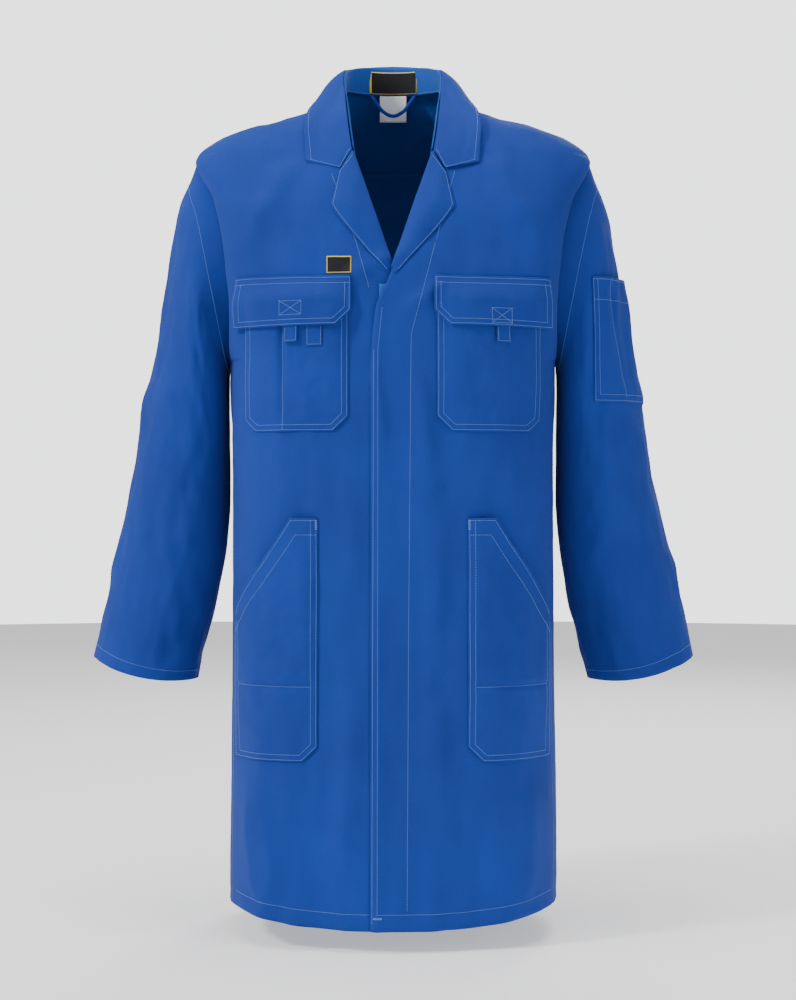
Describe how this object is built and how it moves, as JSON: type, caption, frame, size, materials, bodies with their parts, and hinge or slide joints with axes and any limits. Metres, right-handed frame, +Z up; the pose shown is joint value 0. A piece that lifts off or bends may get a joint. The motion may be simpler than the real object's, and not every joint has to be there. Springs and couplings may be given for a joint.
{
  "type": "lab coat",
  "caption": "Long-sleeved cloth lab coat with notched lapels, concealed stud front, flap chest pockets, slanted hip pockets and a sleeve pen pocket.",
  "frame": {"origin": "middle of the nape seam line on the coat's centre plane, where the stem of a hanger passes through the neck", "axes": "+Z up, the front of the coat faces -Y, +X towards the wearer's left arm"},
  "size_m": [0.752, 0.3309, 1.0573],
  "materials": {
    "cloth": "smooth matt twill",
    "cloth_inside": "inner layer of the same twill",
    "fastener_tape": "hook and loop tape",
    "label_black": "woven label, blank",
    "label_pale": "printed label, blank",
    "steel": "press stud"
  },
  "bodies": {
    "coat": {"back_panel": "cloth", "back_yoke": "cloth", "front_chest_left": "cloth", "front_chest_right": "cloth", "fly_strip_chest": "cloth_inside", "press_stud_1": "steel", "press_socket_1": "steel", "press_stud_2": "steel", "press_socket_2": "steel", "lapel_left": "cloth", "lapel_right": "cloth", "upper_collar": "cloth", "collar_stand": "cloth_inside", "chest_pocket_left": "cloth", "loop_patch_left": "fastener_tape", "chest_pocket_right": "cloth", "loop_patch_right": "fastener_tape", "pocket_tab_right": "cloth", "chest_label": "label_black", "neck_label": "label_black", "care_label": "label_pale"},
    "left_front": {"front_skirt_left": "cloth", "fly_strip_skirt": "cloth_inside", "hip_pocket_left": "cloth", "press_socket_3": "steel", "press_socket_4": "steel", "press_socket_5": "steel", "press_socket_6": "steel"},
    "right_front": {"front_skirt_right": "cloth", "hip_pocket_right": "cloth", "press_stud_3": "steel", "press_stud_4": "steel", "press_stud_5": "steel", "press_stud_6": "steel"},
    "left_sleeve": {"sleeve_front_left": "cloth", "sleeve_back_left": "cloth", "sleeve_pocket": "cloth"},
    "right_sleeve": {"sleeve_front_right": "cloth", "sleeve_back_right": "cloth"},
    "left_flap": {"pocket_flap_left": "cloth", "hook_patch_left": "fastener_tape", "pull_tab_left": "cloth"},
    "right_flap": {"pocket_flap_right": "cloth", "hook_patch_right": "fastener_tape", "pull_tab_right": "cloth"},
    "loop": {"hanger_loop": "cloth"}
  },
  "joints": [
    {"name": "left_front_open", "type": "hinge", "parent": "coat", "child": "left_front", "pos_m": [0.1985, -0.058, -0.75], "axis": [0, 0, 1], "range_deg": [0, 45]},
    {"name": "right_front_open", "type": "hinge", "parent": "coat", "child": "right_front", "pos_m": [-0.1985, -0.058, -0.75], "axis": [0, 0, 1], "range_deg": [-36, 0]},
    {"name": "left_sleeve_lift", "type": "hinge", "parent": "coat", "child": "left_sleeve", "pos_m": [0.2446, 0, -0.098], "axis": [0, -1, 0], "range_deg": [0, 40]},
    {"name": "right_sleeve_lift", "type": "hinge", "parent": "coat", "child": "right_sleeve", "pos_m": [-0.2446, 0, -0.098], "axis": [0, 1, 0], "range_deg": [0, 40]},
    {"name": "left_flap_lift", "type": "hinge", "parent": "coat", "child": "left_flap", "pos_m": [0.118, -0.1279, -0.2535], "axis": [-0.9739, -0.227, 0], "range_deg": [0, 150]},
    {"name": "right_flap_lift", "type": "hinge", "parent": "coat", "child": "right_flap", "pos_m": [-0.118, -0.1279, -0.2535], "axis": [-0.9739, 0.227, 0], "range_deg": [0, 150]},
    {"name": "hanger_loop_flip", "type": "hinge", "parent": "coat", "child": "loop", "pos_m": [0, 0.0605, -0.002], "axis": [-1, 0, 0], "range_deg": [0, 105]}
  ],
  "couplings": [
    {"joint": "right_front_open", "follows": "left_front_open", "ratio": -0.8}
  ]
}
